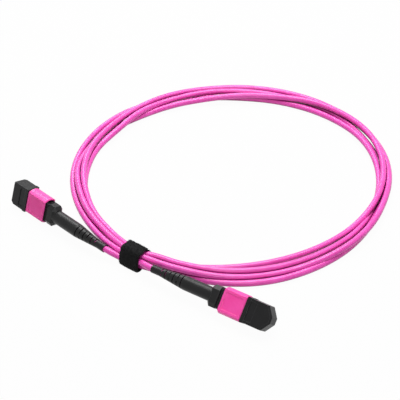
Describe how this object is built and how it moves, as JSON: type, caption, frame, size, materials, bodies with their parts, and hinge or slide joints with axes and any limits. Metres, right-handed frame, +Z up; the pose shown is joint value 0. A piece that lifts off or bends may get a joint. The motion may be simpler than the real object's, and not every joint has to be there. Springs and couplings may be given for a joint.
{
  "type": "mpo trunk cable",
  "caption": "Coiled multi-fibre trunk cable held by a hook-and-loop strap, with a capped push-on plug and a slotted strain-relief boot at each end.",
  "frame": {"origin": "on the floor, under the middle of the box round the plugs, boots and strap, cable left out", "axes": "+X from plug a to plug b along the strapped bundle, +Y from the strap to the coil's middle, +Z up"},
  "size_m": [0.1584, 0.169, 0.0135],
  "materials": {
    "jacket": "satin",
    "cap_plastic": "satin",
    "sleeve_plastic": "satin",
    "housing_plastic": "satin",
    "ferrule_plastic": "matte",
    "boot_rubber": "satin",
    "keeper_metal": "brushed",
    "spring_steel": "drawn",
    "crimp_metal": "satin",
    "fibre": "gloss",
    "strap_cloth": "woven, fuzzy"
  },
  "bodies": {
    "cable": {"cable_coil": "jacket", "cable_tail_a": "jacket", "cable_tail_b": "jacket", "hook_and_loop_strap": "strap_cloth", "inner_housing_a": "housing_plastic", "ferrule_spring_a": "spring_steel", "coupling_spring_1_a": "spring_steel", "coupling_spring_2_a": "spring_steel", "spring_push_a": "housing_plastic", "crimp_ring_a": "crimp_metal", "boot_a": "boot_rubber", "fibre_ribbon_a": "fibre", "cable_end_a": "jacket", "inner_housing_b": "housing_plastic", "ferrule_spring_b": "spring_steel", "coupling_spring_1_b": "spring_steel", "coupling_spring_2_b": "spring_steel", "spring_push_b": "housing_plastic", "crimp_ring_b": "crimp_metal", "boot_b": "boot_rubber", "fibre_ribbon_b": "fibre", "cable_end_b": "jacket"},
    "dust_cap_a": {"dust_cap_a": "cap_plastic"},
    "coupling_sleeve_a": {"coupling_sleeve_a": "sleeve_plastic"},
    "ferrule_a": {"mt_ferrule_a": "ferrule_plastic", "ferrule_boot_a": "boot_rubber", "pin_keeper_a": "keeper_metal"},
    "dust_cap_b": {"dust_cap_b": "cap_plastic"},
    "coupling_sleeve_b": {"coupling_sleeve_b": "sleeve_plastic"},
    "ferrule_b": {"mt_ferrule_b": "ferrule_plastic", "ferrule_boot_b": "boot_rubber", "pin_keeper_b": "keeper_metal"}
  },
  "joints": [
    {"name": "dust_cap_a_pull", "type": "slide", "parent": "cable", "child": "dust_cap_a", "axis": [-0.986, 0.1632, 0.034], "range_m": [0, 0.02]},
    {"name": "coupling_sleeve_a_slide", "type": "slide", "parent": "cable", "child": "coupling_sleeve_a", "axis": [0.986, -0.1632, -0.034], "range_m": [0, 0.0014], "stiffness_N_per_m": 1500, "springref_m": -0.001, "deforming": ["coupling_spring_1_a", "coupling_spring_2_a"]},
    {"name": "ferrule_a_float", "type": "slide", "parent": "cable", "child": "ferrule_a", "axis": [0.986, -0.1632, -0.034], "range_m": [0, 0.0005], "stiffness_N_per_m": 5000, "springref_m": -0.001, "deforming": ["ferrule_spring_a"]},
    {"name": "dust_cap_b_pull", "type": "slide", "parent": "cable", "child": "dust_cap_b", "axis": [0.9999, -0.0052, 0.014], "range_m": [0, 0.02]},
    {"name": "coupling_sleeve_b_slide", "type": "slide", "parent": "cable", "child": "coupling_sleeve_b", "axis": [-0.9999, 0.0052, -0.014], "range_m": [0, 0.0014], "stiffness_N_per_m": 1500, "springref_m": -0.001, "deforming": ["coupling_spring_1_b", "coupling_spring_2_b"]},
    {"name": "ferrule_b_float", "type": "slide", "parent": "cable", "child": "ferrule_b", "axis": [-0.9999, 0.0052, -0.014], "range_m": [0, 0.0005], "stiffness_N_per_m": 5000, "springref_m": -0.001, "deforming": ["ferrule_spring_b"]}
  ]
}
